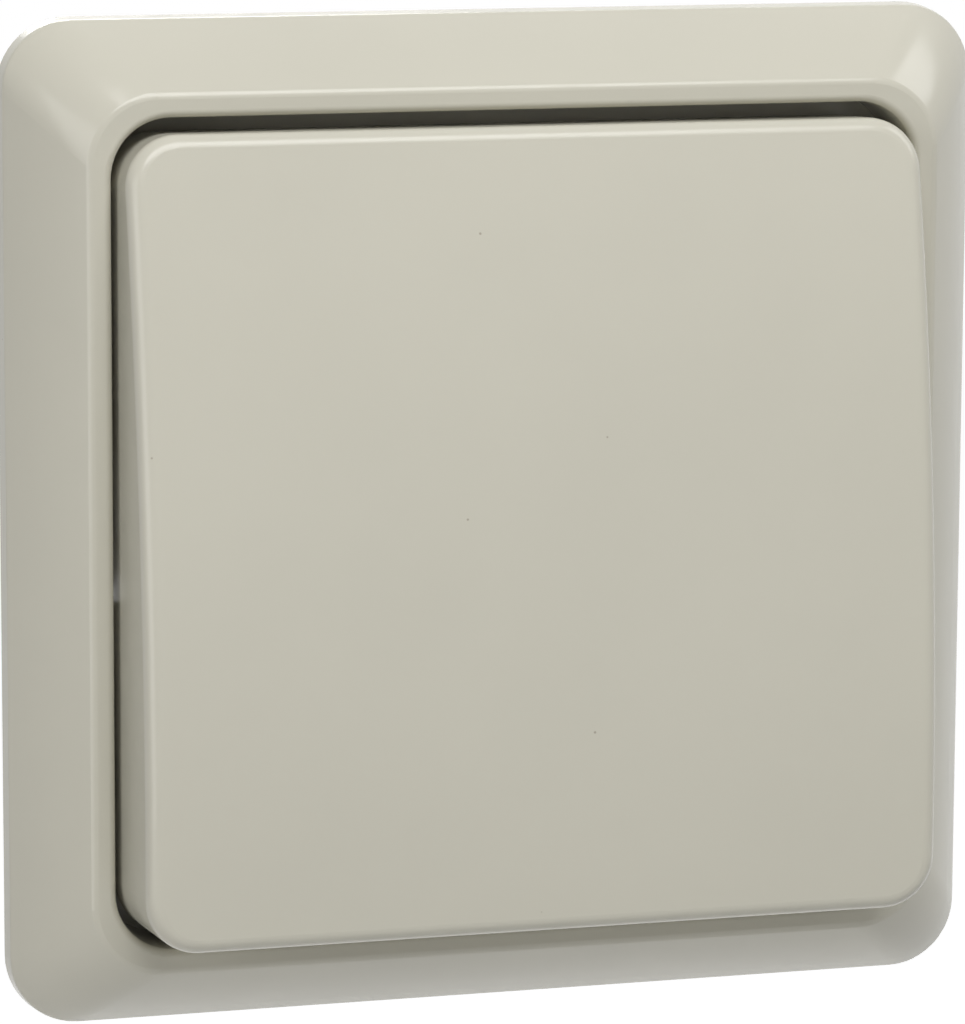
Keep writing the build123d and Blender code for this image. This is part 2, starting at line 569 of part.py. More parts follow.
# Switch base: the moulded box behind the ring
with BuildPart() as switch_base:
    with BuildSketch(at(-BASE_DEPTH)):
        RectangleRounded(BASE_WIDTH, BASE_LENGTH, BASE_CORNER)
    extrude(amount=BASE_DEPTH)
    with BuildSketch(at(FLOOR_HEIGHT)):
        Rectangle(2 * CAVITY_HALF_WIDTH, 2 * CAVITY_HALF_LENGTH)
    extrude(amount=-FLOOR_HEIGHT, mode=Mode.SUBTRACT)
    with BuildSketch(at(-CORE_POCKET_DEPTH)):
        with GridLocations(0, 2 * SCREW_Z, 1, 2):
            Rectangle(CORE_POCKET_WIDTH, CORE_POCKET_LENGTH)
        with GridLocations(2 * SCREW_X, 2 * SCREW_Z, 2, 2):
            Circle(SCREW_RADIUS + SCREW_CLEARANCE)
    extrude(amount=CORE_POCKET_DEPTH, mode=Mode.SUBTRACT)
    for side in SIDES.values():
        with BuildSketch(at(FLOOR_HEIGHT)):
            with Locations((side * PARTITION_X, (CAVITY_HALF_LENGTH - PARTITION_STEP_Z) / 2)):
                Rectangle(PARTITION, CAVITY_HALF_LENGTH + PARTITION_STEP_Z)
        extrude(amount=-FLOOR_HEIGHT - COVER_PLUG_DEPTH - PARTITION_TOP_GAP)
        with BuildSketch(at(FLOOR_HEIGHT)):
            with Locations((side * PARTITION_X, -(CAVITY_HALF_LENGTH + PARTITION_STEP_Z) / 2)):
                Rectangle(PARTITION, CAVITY_HALF_LENGTH - PARTITION_STEP_Z)
        extrude(amount=bar_bottom - FLOOR_HEIGHT)
        for rib in (-1, 1):
            rib_centre = rib * (CLAW_LEG_INNER + CLAW_LEG_THICKNESS / 2)
            with BuildSketch(Plane.XY.offset(rib_centre)):
                ramp_rise = (RAMP_START_DEPTH - RAMP_END_DEPTH) * ramp_slope
                with BuildLine():
                    Polyline(
                        (side * (BASE_WIDTH / 2 - RAMP_ROOT), RAMP_START_DEPTH + RAMP_ROOT / ramp_slope),
                        (side * (BASE_WIDTH / 2 + ramp_rise), RAMP_END_DEPTH),
                        (side * (BASE_WIDTH / 2 + ramp_rise), 0),
                        (side * (BASE_WIDTH / 2 - RAMP_ROOT), 0),
                        close=True,
                    )
                make_face()
            extrude(amount=CLAW_LEG_THICKNESS / 2, both=True)
    with BuildSketch(at(FLOOR_HEIGHT)):
        with Locations((0, -FINGER_V)):
            Circle(SPIGOT_RADIUS)
    extrude(amount=SPIGOT_LENGTH)
    with BuildSketch(at(-BASE_DEPTH)):
        for terminal_z in terminal_zs:
            with GridLocations(2 * WIRE_HOLE_X, 0, 2, 1):
                with Locations((0, terminal_z)):
                    Circle(WIRE_HOLE_RADIUS)
        for side in SIDES.values():
            with Locations((side * lever_x, TERMINAL_CENTRE_Z)):
                Rectangle(LEVER_WIDTH + 2 * LEVER_CLEARANCE, LEVER_BUTTON_LENGTH + 2 * LEVER_CLEARANCE)
    extrude(amount=BASE_FLOOR, mode=Mode.SUBTRACT)
    mouths = switch_base.faces().sort_by(Axis.Y)[-1].edges().filter_by(GeomType.CIRCLE)
    mouths = mouths.filter_by(lambda e: abs(e.radius - WIRE_HOLE_RADIUS) < WIRE_FUNNEL / 2)
    chamfer(mouths, WIRE_FUNNEL)
finish(switch_base, "switch_base")

# Assembly screws: four, from the front through cover and ring into the base
with BuildPart() as assembly_screws:
    with BuildSketch(at(COVER_FRONT)):
        with GridLocations(2 * SCREW_X, 2 * SCREW_Z, 2, 2):
            Circle(SCREW_HEAD_RADIUS)
    extrude(amount=SCREW_HEAD_HEIGHT)
    crowns = assembly_screws.faces().filter_by(Plane.XZ).sort_by(Axis.Y)[:4].edges()
    fillet(crowns, SCREW_HEAD_ROUND)
    with BuildSketch(at(COVER_FRONT - SCREW_LENGTH)):
        with GridLocations(2 * SCREW_X, 2 * SCREW_Z, 2, 2):
            Circle(SCREW_RADIUS)
    extrude(amount=SCREW_LENGTH)
    with BuildSketch(at(COVER_FRONT + SCREW_HEAD_HEIGHT)):
        with GridLocations(2 * SCREW_X, 2 * SCREW_Z, 2, 2):
            Rectangle(2 * SCREW_HEAD_RADIUS, DRIVE_SLOT_WIDTH)
    extrude(amount=-DRIVE_SLOT_DEPTH, mode=Mode.SUBTRACT)
finish(assembly_screws, "assembly_screws")

# Plunger: the stem that the cradle's finger presses, and the carrier window that holds the bridge
with BuildPart() as plunger:
    with BuildSketch(at(carrier_top)):
        with Locations((0, -FINGER_V)):
            Circle(PLUNGER_RADIUS)
    extrude(amount=stem_top - carrier_top)
    with BuildSketch(at(carrier_bottom)):
        with Locations((0, -FINGER_V)):
            RectangleRounded(CARRIER_WIDTH, CARRIER_LENGTH, CARRIER_CORNER)
    extrude(amount=CARRIER_DEPTH)
    with BuildSketch(Plane.XY.offset(-FINGER_V)):
        with Locations((0, -(window_top + window_bottom) / 2)):
            Rectangle(CARRIER_WIDTH - 2 * CARRIER_WALL, window_top - window_bottom)
    extrude(amount=CARRIER_LENGTH, both=True, mode=Mode.SUBTRACT)
    with BuildSketch(at(window_bottom)):
        with Locations((0, -FINGER_V)):
            Rectangle(2 * CARRIER_WIDTH, BRIDGE_LENGTH + 2 * PLUNGER_CLEARANCE)
    extrude(amount=BRIDGE_THICKNESS + PLUNGER_CLEARANCE + SPIGOT_LENGTH, mode=Mode.SUBTRACT)
    with BuildSketch(at(carrier_bottom - SPIGOT_LENGTH)):
        with Locations((0, -FINGER_V)):
            Circle(SPIGOT_RADIUS)
    extrude(amount=SPIGOT_LENGTH)
finish(plunger, "plunger")

# Contact bridge: a brass strip through the carrier's window, with a silver rivet at each end
with BuildPart() as contact_bridge:
    with BuildSketch(at(window_bottom)):
        with Locations((0, -FINGER_V)):
            SlotOverall(BRIDGE_WIDTH, BRIDGE_LENGTH)
    extrude(amount=BRIDGE_THICKNESS)
finish(contact_bridge, "contact_bridge")

with BuildPart() as bridge_contacts:
    with BuildSketch(at(window_bottom)):
        with GridLocations(2 * CONTACT_X, 2 * FINGER_V, 2, 1):
            with Locations((0, -FINGER_V)):
                Circle(CONTACT_RADIUS)
    extrude(amount=-CONTACT_THICKNESS)
    fillet(bridge_contacts.faces().sort_by(Axis.Y)[-2:].edges(), CONTACT_CROWN)
finish(bridge_contacts, "bridge_contacts")

# Springs: the strong one returns the plunger and the rocker, the weak one loads the bridge
return_spring = coil(
    (0, -FINGER_V), RETURN_COIL_RADIUS, RETURN_WIRE_RADIUS, carrier_bottom, FLOOR_HEIGHT, RETURN_TURNS
)
finish(return_spring, "return_spring")
contact_spring = coil(
    (0, -FINGER_V), CONTACT_COIL_RADIUS, CONTACT_WIRE_RADIUS, window_top, window_bottom + BRIDGE_THICKNESS,
    CONTACT_TURNS,
)
finish(contact_spring, "contact_spring")


def contact_bar(side):
    """A brass bar: a tab under the bridge and a plate along the side wall, where the wires are clamped."""
    with BuildPart() as bar:
        with BuildSketch(at(bar_bottom)):
            with Locations((side * (BAR_X + BAR_THICKNESS + tab_inner_x) / 2, -FINGER_V)):
                Rectangle(BAR_X + BAR_THICKNESS - tab_inner_x, BAR_TAB_LENGTH)
        extrude(amount=BAR_THICKNESS)
        with BuildSketch(at(FLOOR_HEIGHT)):
            plate_low = -FINGER_V - BAR_TAB_LENGTH / 2
            plate_high = CAVITY_HALF_LENGTH - BAR_END_GAP
            with Locations((side * (BAR_X + BAR_THICKNESS / 2), (plate_low + plate_high) / 2)):
                Rectangle(BAR_THICKNESS, plate_high - plate_low)
        extrude(amount=-BAR_TOP_DEPTH - FLOOR_HEIGHT)
    return bar


def bar_contact(side):
    """The silver rivet on a bar's tab."""
    with BuildPart() as rivet:
        with BuildSketch(at(bar_top)):
            with Locations((side * CONTACT_X, -FINGER_V)):
                Circle(CONTACT_RADIUS)
        extrude(amount=CONTACT_THICKNESS)
        fillet(rivet.faces().sort_by(Axis.Y)[0].edges(), CONTACT_CROWN)
    return rivet


def clamp_springs(side):
    """Two looped leaf springs that press the wires against a bar."""
    anchor_x = PARTITION_X + PARTITION / 2 + CLAMP_SEAT_GAP + CLAMP_THICKNESS / 2
    tip_x = BAR_X - CLAMP_TIP_GAP - CLAMP_THICKNESS / 2
    anchor_height = FLOOR_HEIGHT + CLAMP_SEAT_GAP
    with BuildPart() as springs:
        for terminal_z in terminal_zs:
            with BuildLine(Plane.XY.offset(terminal_z)) as leaf:
                FilletPolyline(
                    (side * anchor_x, -anchor_height),
                    (side * anchor_x, CLAMP_LOOP_DEPTH),
                    (side * CLAMP_TURN_X, CLAMP_LOOP_DEPTH),
                    (side * tip_x, BASE_DEPTH - CLAMP_TIP_HEIGHT),
                    radius=CLAMP_LOOP_RADIUS,
                )
            with BuildSketch(at(anchor_height)):
                with Locations((side * anchor_x, terminal_z)):
                    Rectangle(CLAMP_THICKNESS, CLAMP_WIDTH)
            sweep(path=leaf.line)
    return springs


def release_lever(side):
    """A push-in release lever: its button stands out of the base and its head bends both leaves back."""
    head_base = -FLOOR_HEIGHT - LEVER_CLEARANCE
    tip_depth = BASE_DEPTH - LEVER_TIP_HEIGHT
    inner_x = lever_x - LEVER_WIDTH / 2
    outer_x = lever_x + LEVER_WIDTH / 2
    with BuildPart() as lever:
        with BuildSketch(Plane.XY.offset(TERMINAL_CENTRE_Z)):
            with BuildLine():
                Polyline(
                    (side * inner_x, head_base),
                    (side * inner_x, tip_depth + LEVER_TIP_BEVEL),
                    (side * (inner_x + LEVER_TIP_BEVEL), tip_depth),
                    (side * outer_x, tip_depth),
                    (side * outer_x, head_base),
                    close=True,
                )
            make_face()
        extrude(amount=LEVER_HEAD_LENGTH / 2, both=True)
        with BuildSketch(at(-BASE_DEPTH - LEVER_PROUD)):
            with Locations((side * lever_x, TERMINAL_CENTRE_Z)):
                RectangleRounded(LEVER_WIDTH, LEVER_BUTTON_LENGTH, LEVER_CORNER)
        extrude(amount=BASE_DEPTH + LEVER_PROUD - head_base)
    return lever


def claw(side):
    """A bent steel claw: two toothed legs that ride up the base's ramp, and a foot that holds the nut."""
    slide_gap = CLAW_GAP / cos(radians(RAMP_ANGLE))
    back_depth = CLAW_FOOT_DEPTH + 2 * CLAW_FOOT + NUT_THICKNESS + 2 * NUT_GAP
    start_depth = RAMP_START_DEPTH - (CLAW_INNER_X - BASE_WIDTH / 2 - slide_gap) / ramp_slope
    front_x = CLAW_INNER_X + (start_depth - CLAW_LEG_FRONT_DEPTH) * ramp_slope
    foot_outer_x = CLAW_SCREW_X + NUT_SIDE / 2
    teeth = [(CLAW_OUTER_X, CLAW_LEG_FRONT_DEPTH)]
    for tooth in range(CLAW_TEETH):
        tooth_depth = CLAW_LEG_FRONT_DEPTH + tooth * CLAW_TOOTH_PITCH
        teeth.append((CLAW_OUTER_X + CLAW_TOOTH, tooth_depth + CLAW_TOOTH_FLANK))
        teeth.append((CLAW_OUTER_X, tooth_depth + CLAW_TOOTH_PITCH))
    outline = [(CLAW_INNER_X, back_depth), (CLAW_INNER_X, start_depth), (front_x, CLAW_LEG_FRONT_DEPTH)]
    outline += teeth + [(foot_outer_x, CLAW_FOOT_DEPTH + CLAW_FOOT), (foot_outer_x, back_depth)]
    with BuildPart() as part:
        for leg in (-1, 1):
            with BuildSketch(Plane.XY.offset(leg * (CLAW_LEG_INNER + CLAW_LEG_THICKNESS / 2))):
                with BuildLine():
                    Polyline(*[(side * x, depth) for x, depth in outline], close=True)
                make_face()
            extrude(amount=CLAW_LEG_THICKNESS / 2, both=True)
        notch_start = CLAW_INNER_X - NUT_SIDE
        notch_end = CLAW_SCREW_X + CLAW_SCREW_RADIUS + CLAW_GAP
        for plate_depth in (CLAW_FOOT_DEPTH + CLAW_FOOT, back_depth):
            with BuildSketch(at(-plate_depth)):
                with Locations((side * (CLAW_INNER_X + foot_outer_x) / 2, 0)):
                    Rectangle(foot_outer_x - CLAW_INNER_X, 2 * CLAW_LEG_INNER + CLAW_LEG_THICKNESS)
                with Locations((side * (notch_start + notch_end) / 2, 0)):
                    notch_width = 2 * (CLAW_SCREW_RADIUS + CLAW_GAP)
                    SlotOverall(notch_end - notch_start, notch_width, mode=Mode.SUBTRACT)
            extrude(amount=CLAW_FOOT)
    return part


def claw_screw(side):
    """A claw screw with a slotted pan head on the ring."""
    head_base = RING_FRONT + THREAD_CLEARANCE
    with BuildPart() as screw:
        with BuildSketch(at(head_base)):
            with Locations((side * CLAW_SCREW_X, 0)):
                Circle(CLAW_HEAD_RADIUS)
        extrude(amount=CLAW_HEAD_HEIGHT)
        fillet(screw.faces().sort_by(Axis.Y)[0].edges(), CLAW_HEAD_ROUND)
        with BuildSketch(at(head_base + CLAW_HEAD_HEIGHT)):
            with Locations((side * CLAW_SCREW_X, 0)):
                Rectangle(2 * CLAW_HEAD_RADIUS, DRIVE_SLOT_WIDTH)
                Rectangle(DRIVE_SLOT_WIDTH, CLAW_HEAD_RADIUS)
        extrude(amount=-CLAW_HEAD_HEIGHT / 2, mode=Mode.SUBTRACT)
        with BuildSketch(at(head_base)):
            with Locations((side * CLAW_SCREW_X, 0)):
                Circle(CLAW_SCREW_RADIUS)
        extrude(amount=-BASE_DEPTH - CLAW_SCREW_PROUD - head_base)
        chamfer(screw.faces().sort_by(Axis.Y)[-1].edges(), CLAW_TIP_BEVEL)
    return screw


def claw_nut(side):
    """The square nut that runs on a claw screw, held in the claw's foot."""
    with BuildPart() as nut:
        with BuildSketch(at(-CLAW_FOOT_DEPTH - CLAW_FOOT - NUT_GAP)):
            with Locations((side * CLAW_SCREW_X, 0)):
                Rectangle(NUT_SIDE, NUT_SIDE)
                Circle(CLAW_SCREW_RADIUS + THREAD_CLEARANCE, mode=Mode.SUBTRACT)
        extrude(amount=-NUT_THICKNESS)
    return nut


for side_name, side in SIDES.items():
    finish(contact_bar(side), f"contact_bar_{side_name}")
    finish(bar_contact(side), f"bar_contact_{side_name}")
    finish(clamp_springs(side), f"clamp_springs_{side_name}")
    finish(release_lever(side), f"release_lever_{side_name}")
    finish(claw(side), f"claw_{side_name}")
    finish(claw_screw(side), f"claw_screw_{side_name}")
    finish(claw_nut(side), f"claw_nut_{side_name}")
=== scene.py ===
import json
from math import cos, pi, radians, sin

import bmesh
import bpy
from mathutils import Matrix, Vector


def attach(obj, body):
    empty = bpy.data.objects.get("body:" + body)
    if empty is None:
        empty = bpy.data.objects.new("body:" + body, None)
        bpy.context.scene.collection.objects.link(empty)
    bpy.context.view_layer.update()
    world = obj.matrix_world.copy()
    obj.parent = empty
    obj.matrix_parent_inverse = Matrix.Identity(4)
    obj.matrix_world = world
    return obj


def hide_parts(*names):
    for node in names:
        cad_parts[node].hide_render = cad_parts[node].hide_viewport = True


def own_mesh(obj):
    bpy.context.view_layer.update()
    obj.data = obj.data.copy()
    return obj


# The looks of a flush-mounted pushbutton switch: a glossy cream frame and rocker before a clawed insert.
# Everything is in metres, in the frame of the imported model: X right, Y into the wall, Z up.
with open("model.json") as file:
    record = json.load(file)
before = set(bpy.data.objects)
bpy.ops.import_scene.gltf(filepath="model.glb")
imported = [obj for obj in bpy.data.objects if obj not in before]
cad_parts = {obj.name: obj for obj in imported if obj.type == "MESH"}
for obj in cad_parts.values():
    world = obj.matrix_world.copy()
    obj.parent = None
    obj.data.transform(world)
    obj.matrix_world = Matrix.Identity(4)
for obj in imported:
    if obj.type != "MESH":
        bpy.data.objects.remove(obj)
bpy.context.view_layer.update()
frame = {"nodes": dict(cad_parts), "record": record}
nodes = frame["nodes"]
MM = 0.001

# Camera, fitted to the edges of the cover frame in the photograph
VIEW_YAW = radians(16.42)
VIEW_PITCH = radians(9.54)
VIEW_ROLL = radians(0.25)
VIEW_TARGET = Vector((-0.57, 0, -0.43)) * MM
VIEW_DISTANCE = 0.4456
VIEW_LENS = 194.76
VIEW_SENSOR = 36.0

# The lip at the foot of the frame's opening, between the steel ring and the button's skirt
OPENING_HALF = 32.75 * MM
OPENING_CORNER = 4.7 * MM
LIP_SEAT = 0.4 * MM
LIP_REACH = 2.2 * MM
LIP_BACK = 1.22 * MM
LIP_FRONT = 1.6 * MM
LIP_OPEN_HALF = 6.0 * MM
LIP_STEPS = 10

# The claw screws' right-handed thread, which starts inside the steel ring
CLAW_SCREW_X = 22.5 * MM
THREAD_PITCH = 0.8 * MM
THREAD_CREST = 1.5 * MM
THREAD_ROOT = 1.12 * MM
THREAD_START = -0.6 * MM
THREAD_END = 23.6 * MM
THREAD_LEAD_IN = 0.6 * MM
THREAD_OVERLAP = 0.15 * MM
THREAD_FLAT = 0.25
THREAD_ROWS = 8
THREAD_STEPS = 36

# Each spring's joint, the axis along which it gives way, the place that stays and the share left at the limit
SPRINGS = {
    "return_spring": ("plunger_travel", (0, 1, 0), (0, 21 * MM, 0), 0.79),
    "clamp_springs_left": ("release_lever_left_push", (1, 0, 0), (-6.8 * MM, 0, 0), 0.6),
    "clamp_springs_right": ("release_lever_right_push", (1, 0, 0), (6.8 * MM, 0, 0), 0.6),
}

# Materials: the used part of a noise's range, where an edge starts to look rubbed, and the plastic's gloss
NOISE_LOW = 0.3
NOISE_HIGH = 0.7
EDGE_START = 0.52
PLASTIC_IOR = 1.5
PLASTIC_MIRROR = 0.36
PLATING_RELIEF = 0.004 * MM

# Studio
FLOOR_DROP = 0.4
FLOOR_SIDE = 6.0
WHITE = (1.0, 1.0, 1.0, 1.0)
FLOOR_COLOUR = (0.82, 0.82, 0.81, 1.0)
FLOOR_GLOW = 0.92
AMBIENT = 0.06
BEHIND_SPREAD = radians(50)


def linear(red, green, blue):
    """A colour given as 8-bit screen values, as the linear colour that a shader takes."""
    def decode(value):
        share = value / 255
        return share / 12.92 if share <= 0.04045 else ((share + 0.055) / 1.055) ** 2.4
    return decode(red), decode(green), decode(blue), 1.0


def shade(colour, factor):
    """A colour made darker or brighter, and never past white."""
    return tuple(min(1.0, factor * value) for value in colour[:3]) + (1.0,)


def add(tree, kind, inputs=None, **settings):
    """Adds a shader node. Inputs are values, or sockets to link from."""
    made = tree.nodes.new(kind)
    for key, value in settings.items():
        setattr(made, key, value)
    for key, value in (inputs or {}).items():
        if isinstance(value, bpy.types.NodeSocket):
            tree.links.new(value, made.inputs[key])
        else:
            made.inputs[key].default_value = value
    return made


def ramp(tree, source, low, high, from_value, to_value):
    """Maps a socket's range low..high to from_value..to_value, held at its ends."""
    inputs = {"Value": source, "From Min": low, "From Max": high, "To Min": from_value, "To Max": to_value}
    return add(tree, "ShaderNodeMapRange", inputs).outputs["Result"]


def noise(tree, place, size, detail=2.0, stretch=(1, 1, 1)):
    """Noise whose features are about size metres wide, drawn out along each axis by stretch."""
    scale = [1 / (size * factor) for factor in stretch]
    mapped = add(tree, "ShaderNodeMapping", {"Vector": place, "Scale": scale})
    inputs = {"Vector": mapped.outputs["Vector"], "Scale": 1.0, "Detail": detail}
    return add(tree, "ShaderNodeTexNoise", inputs).outputs["Fac"]


def mix_colour(tree, share, first, second, blend="MIX"):
    """Mixes two colours by a share."""
    made = add(tree, "ShaderNodeMix", data_type="RGBA", blend_type=blend)
    for index, value in ((0, share), (6, first), (7, second)):
        if isinstance(value, bpy.types.NodeSocket):
            tree.links.new(value, made.inputs[index])
        else:
            made.inputs[index].default_value = value
    return made.outputs[2]


def rubbed_edges(tree, sharpest, most):
    """How rubbed the surface looks: 0 where it is flat, and most where it turns as sharply as sharpest."""
    edge = add(tree, "ShaderNodeNewGeometry").outputs["Pointiness"]
    return ramp(tree, edge, EDGE_START, sharpest, 0.0, most)


def start_material(name):
    """A new material with its tree, its shader and the object's own coordinates."""
    material = bpy.data.materials.new(name)
    material.use_nodes = True
    tree = material.node_tree
    place = add(tree, "ShaderNodeTexCoord").outputs["Object"]
    return material, tree, tree.nodes["Principled BSDF"], place


def bump(tree, shader, height, distance, strength=1.0):
    """Gives the shader's surface a relief of that depth."""
    made = add(tree, "ShaderNodeBump", {"Height": height, "Distance": distance, "Strength": strength})
    tree.links.new(made.outputs["Normal"], shader.inputs["Normal"])


def gloss_plastic(name, colour, speck_colour):
    """Polished moulded plastic: faint flow clouds, a few trapped specks and a very low orange peel."""
    material, tree, shader, place = start_material(name)
    clouds = ramp(tree, noise(tree, place, 22 * MM, 3.0), 0.35, 0.65, 0.0, 1.0)
    base = mix_colour(tree, clouds, colour, shade(colour, 0.975))
    cells = add(tree, "ShaderNodeTexVoronoi", {"Vector": place, "Scale": 1 / (6 * MM)})
    speck = ramp(tree, cells.outputs["Distance"], 0.012, 0.022, 0.5, 0.0)
    tree.links.new(mix_colour(tree, speck, base, speck_colour), shader.inputs["Base Color"])
    sheen = ramp(tree, noise(tree, place, 3 * MM, 4.0), NOISE_LOW, NOISE_HIGH, 0.16, 0.24)
    tree.links.new(sheen, shader.inputs["Roughness"])
    bump(tree, shader, noise(tree, place, 1.6 * MM, 2.0), 0.0012 * MM)
    shader.inputs["IOR"].default_value = PLASTIC_IOR
    shader.inputs["Specular IOR Level"].default_value = PLASTIC_MIRROR
    return material


def moulding(name, colour, grain_depth):
    """Unpolished moulded plastic with a fine spark-eroded grain and slightly rubbed edges."""
    material, tree, shader, place = start_material(name)
    clouds = ramp(tree, noise(tree, place, 7 * MM, 4.0), NOISE_LOW, NOISE_HIGH, 0.0, 1.0)
    base = mix_colour(tree, clouds, colour, shade(colour, 0.93))
    rubbed = rubbed_edges(tree, 0.62, 0.35)
    tree.links.new(mix_colour(tree, rubbed, base, WHITE), shader.inputs["Base Color"])
    grain = noise(tree, place, 0.25 * MM, 3.0)
    tree.links.new(ramp(tree, grain, NOISE_LOW, NOISE_HIGH, 0.42, 0.58), shader.inputs["Roughness"])
    bump(tree, shader, grain, grain_depth)
    return material


def metal(name, colour, roughness, streak, tint=None):
    """Bare or plated metal: rolled streaks along X, cloudy plating and brighter rubbed edges."""
    material, tree, shader, place = start_material(name)
    clouds = ramp(tree, noise(tree, place, 4 * MM, 4.0), NOISE_LOW, NOISE_HIGH, 0.0, 1.0)
    base = mix_colour(tree, clouds, colour, tint or shade(colour, 0.86))
    rubbed = rubbed_edges(tree, 0.6, 0.4)
    tree.links.new(mix_colour(tree, rubbed, base, shade(colour, 1.15)), shader.inputs["Base Color"])
    streaks = noise(tree, place, 0.12 * MM, 3.0, stretch=(streak, 1, 1))
    rough = ramp(tree, streaks, NOISE_LOW, NOISE_HIGH, roughness * 0.8, roughness * 1.3)
    tree.links.new(rough, shader.inputs["Roughness"])
    bump(tree, shader, streaks, PLATING_RELIEF)
    shader.inputs["Metallic"].default_value = 1.0
    return material


def make_materials():
    """One material for each of the record's slots."""
    speck = linear(120, 105, 85)
    zinc, dull_zinc = linear(166, 169, 173), linear(150, 149, 140)
    return {
        "cream_plastic": gloss_plastic("cream_plastic", linear(201, 198, 184), speck),
        "white_moulding": moulding("white_moulding", linear(225, 225, 220), 0.006 * MM),
        "grey_moulding": moulding("grey_moulding", linear(150, 152, 151), 0.006 * MM),
        "base_moulding": moulding("base_moulding", linear(214, 212, 202), 0.008 * MM),
        "lever_moulding": moulding("lever_moulding", linear(86, 91, 96), 0.005 * MM),
        "zinc_plated_steel": metal("zinc_plated_steel", zinc, 0.36, 6, dull_zinc),
        "brass": metal("brass", linear(214, 182, 112), 0.28, 5),
        "silver_contact": metal("silver_contact", linear(226, 224, 218), 0.22, 1),
        "spring_steel": metal("spring_steel", linear(176, 176, 174), 0.3, 3),
    }


def dress_nodes(materials):
    """Gives each solid the material of its slot."""
    for subpart in frame["record"]["subparts"]:
        solid = nodes[subpart["node"]]
        solid.data.materials.clear()
        solid.data.materials.append(materials[subpart["material_slot"]])


def add_object(name, form, material, body):
    """Makes a piece from a bmesh, with its material and the body that it rides on."""
    mesh = bpy.data.meshes.new(name)
    form.to_mesh(mesh)
    form.free()
    mesh.materials.clear()
    mesh.materials.append(material)
    piece = bpy.data.objects.new(name, mesh)
    bpy.context.scene.collection.objects.link(piece)
    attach(piece, body)
    return piece


def placed_copy(name):
    """A bmesh of a solid, in the frame of the whole part."""
    form = bmesh.new()
    form.from_mesh(nodes[name].data)
    form.transform(nodes[name].matrix_world)
    return form


def lip_path(half, corner, end):
    """Half of a rounded square's outline, round its upper end for 1 and its lower end for -1."""
    points = [(half, end * LIP_OPEN_HALF)]
    for side in (1, -1):
        for step in range(LIP_STEPS + 1):
            angle = pi / 2 * (step / LIP_STEPS + (side < 0))
            across = side * (half - corner) + corner * cos(angle)
            points.append((across, end * (half - corner + corner * sin(angle))))
    return points + [(-half, end * LIP_OPEN_HALF)]


def add_inner_lip(material):
    """The moulded lip at the foot of the frame's opening, open at the sides for the box screws' heads."""
    form = bmesh.new()
    for end in (1, -1):
        outer = lip_path(OPENING_HALF + LIP_SEAT, OPENING_CORNER + LIP_SEAT, end)
        inner = lip_path(OPENING_HALF - LIP_REACH, OPENING_CORNER - LIP_REACH, end)
        corners = ((outer, LIP_BACK), (outer, LIP_FRONT), (inner, LIP_FRONT), (inner, LIP_BACK))
        rings = [[form.verts.new((x, -height, z)) for x, z in path] for path, height in corners]
        for first, second in zip(rings, rings[1:] + rings[:1]):
            for index in range(len(outer) - 1):
                form.faces.new((first[index], first[index + 1], second[index + 1], second[index]))
        for index in (0, -1):
            form.faces.new([ring[index] for ring in rings])
    bmesh.ops.recalc_face_normals(form, faces=form.faces)
    add_object("frame_inner_lip", form, material, "base")


def thread_radius(depth, share):
    """The thread's radius at a depth and a share of a turn, with a lead-in.

    A crest, a root and each of the two flanks take the same share of the pitch.
    """
    phase = (depth / THREAD_PITCH - share) % 1
    ridge = min(1, max(0, (1.5 * THREAD_FLAT - abs(phase - 0.5)) / THREAD_FLAT))
    radius = THREAD_ROOT + (THREAD_CREST - THREAD_ROOT) * ridge
    return min(radius, THREAD_CREST - max(0, depth - (THREAD_END - THREAD_LEAD_IN)))


def add_claw_screw(side_name, side, material):
    """A claw screw with its real thread, under the head of its solid."""
    name = f"claw_screw_{side_name}"
    form = placed_copy(name)
    everything = form.verts[:] + form.edges[:] + form.faces[:]
    cut = bmesh.ops.bisect_plane(
        form, geom=everything, plane_co=(0, THREAD_START, 0), plane_no=(0, 1, 0), clear_outer=True
    )
    rim = [item for item in cut["geom_cut"] if isinstance(item, bmesh.types.BMEdge)]
    bmesh.ops.edgeloop_fill(form, edges=rim)
    rows = round((THREAD_END - THREAD_START) / THREAD_PITCH * THREAD_ROWS)
    rings = []
    for row in range(rows + 1):
        depth = THREAD_START - THREAD_OVERLAP + (THREAD_END - THREAD_START + THREAD_OVERLAP) * row / rows
        ring = []
        for step in range(THREAD_STEPS):
            share = step / THREAD_STEPS
            radius = thread_radius(depth, share)
            across, up = radius * sin(2 * pi * share), radius * cos(2 * pi * share)
            ring.append(form.verts.new((side * CLAW_SCREW_X + across, depth, up)))
        rings.append(ring)
    for first, second in zip(rings, rings[1:]):
        for step in range(THREAD_STEPS):
            after = (step + 1) % THREAD_STEPS
            form.faces.new((first[step], first[after], second[after], second[step])).smooth = True
    form.faces.new(rings[0])
    form.faces.new(rings[-1])
    bmesh.ops.recalc_face_normals(form, faces=form.faces)
    screw = add_object(f"{name}_threaded", form, material, name)
    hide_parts(name)


def add_spring(name, material):
    """A copy of a spring, riding on the base, with a mesh of its own, in place of its solid."""
    spring = add_object(f"{name}_sprung", placed_copy(name), material, "base")
    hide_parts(name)
    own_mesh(spring)


